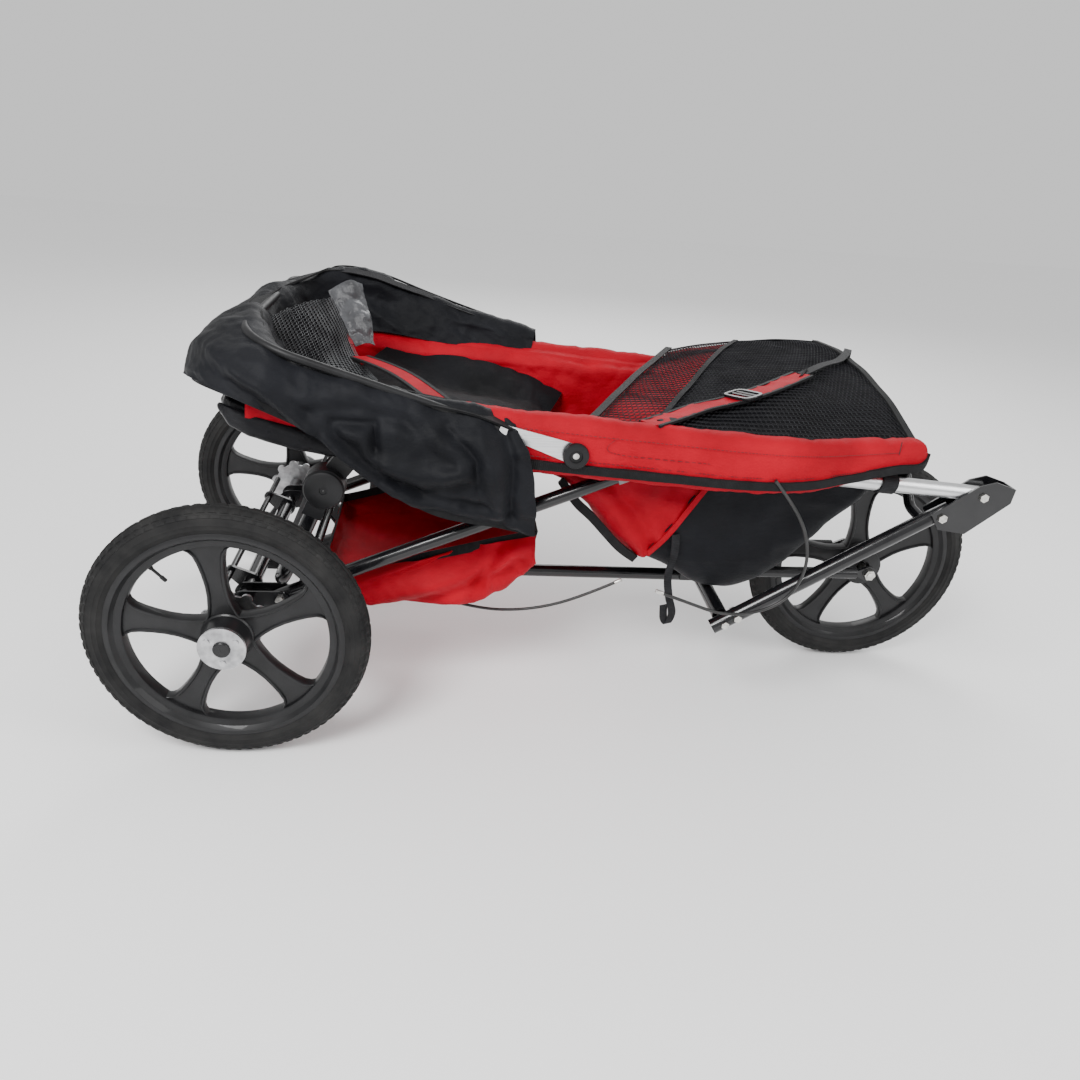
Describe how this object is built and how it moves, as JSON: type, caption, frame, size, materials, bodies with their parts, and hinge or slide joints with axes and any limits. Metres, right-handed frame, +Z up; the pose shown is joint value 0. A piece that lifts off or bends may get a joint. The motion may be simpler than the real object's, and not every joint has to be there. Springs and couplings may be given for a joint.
{
  "type": "pet stroller",
  "caption": "Three-wheeled jogging pet stroller, folded flat: a fabric cabin on hinged rails, legs and struts over a tubular chassis with large spoked wheels.",
  "frame": {"origin": "on the ground, under the middle of the wheelbase, on the middle plane", "axes": "+X forward towards the front wheel, +Y to the stroller's left, +Z up"},
  "size_m": [1.457, 0.698, 0.6174],
  "materials": {
    "tyre_rubber": "matt moulded rubber with block tread",
    "rim_plastic": "satin black moulded nylon",
    "gloss_black_tube": "gloss black powder coat",
    "silver_rail": "brushed anodised tube",
    "zinc_fastener": "bright zinc plate",
    "steel_disc": "plain pressed steel",
    "black_plastic": "fine moulded grain",
    "button_plastic": "smooth moulded",
    "grey_collar": "moulded plastic",
    "red_cloth": "coated woven polyester",
    "black_cloth": "coated woven polyester",
    "black_mesh": "open honeycomb mesh",
    "webbing": "ribbed polyester webbing",
    "foam_grip": "closed-cell foam",
    "cable_jacket": "smooth cable jacket"
  },
  "bodies": {
    "chassis": {"rear_axle_tube": "gloss_black_tube", "stub_axles": "zinc_fastener", "keel_tube": "gloss_black_tube", "front_crossbar": "gloss_black_tube", "keel_saddles": "gloss_black_tube", "fork_arm_left": "gloss_black_tube", "fork_arm_right": "gloss_black_tube", "fork_dropouts": "gloss_black_tube", "front_axle": "zinc_fastener", "leg_brackets": "gloss_black_tube", "leg_foot_bolts": "zinc_fastener", "basket": "red_cloth", "brake_bar_ears": "gloss_black_tube", "lower_cable": "cable_jacket"},
    "rear_legs": {"leg_tube_left": "gloss_black_tube", "leg_tube_right": "gloss_black_tube", "leg_bridge": "gloss_black_tube", "leg_collars": "grey_collar"},
    "rails": {"rail_tube_left": "silver_rail", "rail_tube_right": "silver_rail", "rear_hoop": "gloss_black_tube", "rear_padding": "black_cloth", "handle_elbow_left": "black_plastic", "handle_elbow_right": "black_plastic", "rail_bolts": "zinc_fastener", "rail_sleeve_left": "red_cloth", "rail_sleeve_right": "red_cloth", "cabin_tub": "red_cloth", "front_apron": "black_cloth", "mesh_cover": "black_mesh", "hanging_strap": "webbing", "brake_cable": "cable_jacket"},
    "front_struts": {"strut_tube_left": "gloss_black_tube", "strut_tube_right": "gloss_black_tube", "strut_bracket_left": "gloss_black_tube", "strut_bracket_right": "gloss_black_tube", "strut_bolts": "zinc_fastener", "strut_arch": "gloss_black_tube"},
    "handlebar": {"knuckle_cap_left": "black_plastic", "knuckle_cap_right": "black_plastic", "handle_tube": "gloss_black_tube", "handle_grip": "foam_grip", "lever_clamp": "black_plastic"},
    "lever": {"brake_lever": "black_plastic"},
    "canopy": {"canopy_arms": "silver_rail", "canopy_hoop": "gloss_black_tube", "canopy_hood": "black_cloth"},
    "wheel_left": {"tyre_left": "tyre_rubber", "rim_left": "rim_plastic", "brake_star_left": "steel_disc", "hub_ring_left": "steel_disc"},
    "wheel_right": {"tyre_right": "tyre_rubber", "rim_right": "rim_plastic", "brake_star_right": "steel_disc", "hub_ring_right": "steel_disc"},
    "wheel_front": {"front_tyre": "tyre_rubber", "front_rim": "rim_plastic"},
    "button_left": {"hub_button_left": "button_plastic"},
    "button_right": {"hub_button_right": "button_plastic"},
    "parking_brake": {"parking_brake_bar": "gloss_black_tube"}
  },
  "joints": [
    {"name": "frame_fold", "type": "hinge", "parent": "chassis", "child": "rear_legs", "pos_m": [-0.4735, 0, 0.206], "axis": [0, -1, 0], "range_deg": [0, 35]},
    {"name": "rail_pivot", "type": "hinge", "parent": "rear_legs", "child": "rails", "pos_m": [0.1146, 0, 0.46098], "axis": [0, -1, 0], "range_deg": [-48.6, 0.2]},
    {"name": "strut_pivot", "type": "hinge", "parent": "rails", "child": "front_struts", "pos_m": [0.57149, 0, 0.42903], "axis": [0, -1, 0], "range_deg": [-0.2, 59]},
    {"name": "handle_fold", "type": "hinge", "parent": "rails", "child": "handlebar", "pos_m": [-0.39765, 0, 0.40358], "axis": [0, -1, 0], "range_deg": [-76, 0]},
    {"name": "brake_squeeze", "type": "hinge", "parent": "handlebar", "child": "lever", "pos_m": [-0.41112, -0.24115, 0.30449], "axis": [0, 1, 0], "range_deg": [0, 12], "stiffness_Nm_per_rad": 0.6, "springref_deg": -5.73},
    {"name": "canopy_fold", "type": "hinge", "parent": "rails", "child": "canopy", "pos_m": [-0.04999, 0, 0.47249], "axis": [0, -1, 0], "range_deg": [-85, 0]},
    {"name": "wheel_left_spin", "type": "hinge", "parent": "chassis", "child": "wheel_left", "pos_m": [-0.5285, 0.303, 0.2], "axis": [0, 1, 0], "continuous": true},
    {"name": "wheel_right_spin", "type": "hinge", "parent": "chassis", "child": "wheel_right", "pos_m": [-0.5285, -0.303, 0.2], "axis": [0, 1, 0], "continuous": true},
    {"name": "wheel_front_spin", "type": "hinge", "parent": "chassis", "child": "wheel_front", "pos_m": [0.5285, 0, 0.2], "axis": [0, 1, 0], "continuous": true},
    {"name": "button_left_push", "type": "slide", "parent": "wheel_left", "child": "button_left", "axis": [0, -1, 0], "range_m": [0, 0.003], "stiffness_N_per_m": 600, "springref_m": -0.001},
    {"name": "button_right_push", "type": "slide", "parent": "wheel_right", "child": "button_right", "axis": [0, 1, 0], "range_m": [0, 0.003], "stiffness_N_per_m": 600, "springref_m": -0.001},
    {"name": "parking_brake_press", "type": "hinge", "parent": "chassis", "child": "parking_brake", "pos_m": [-0.5585, 0, 0.22], "axis": [0, -1, 0], "range_deg": [0, 25]}
  ],
  "couplings": [
    {"joint": "rail_pivot", "follows": "frame_fold", "ratio": -1.3855},
    {"joint": "strut_pivot", "follows": "frame_fold", "ratio": 1.6822}
  ]
}
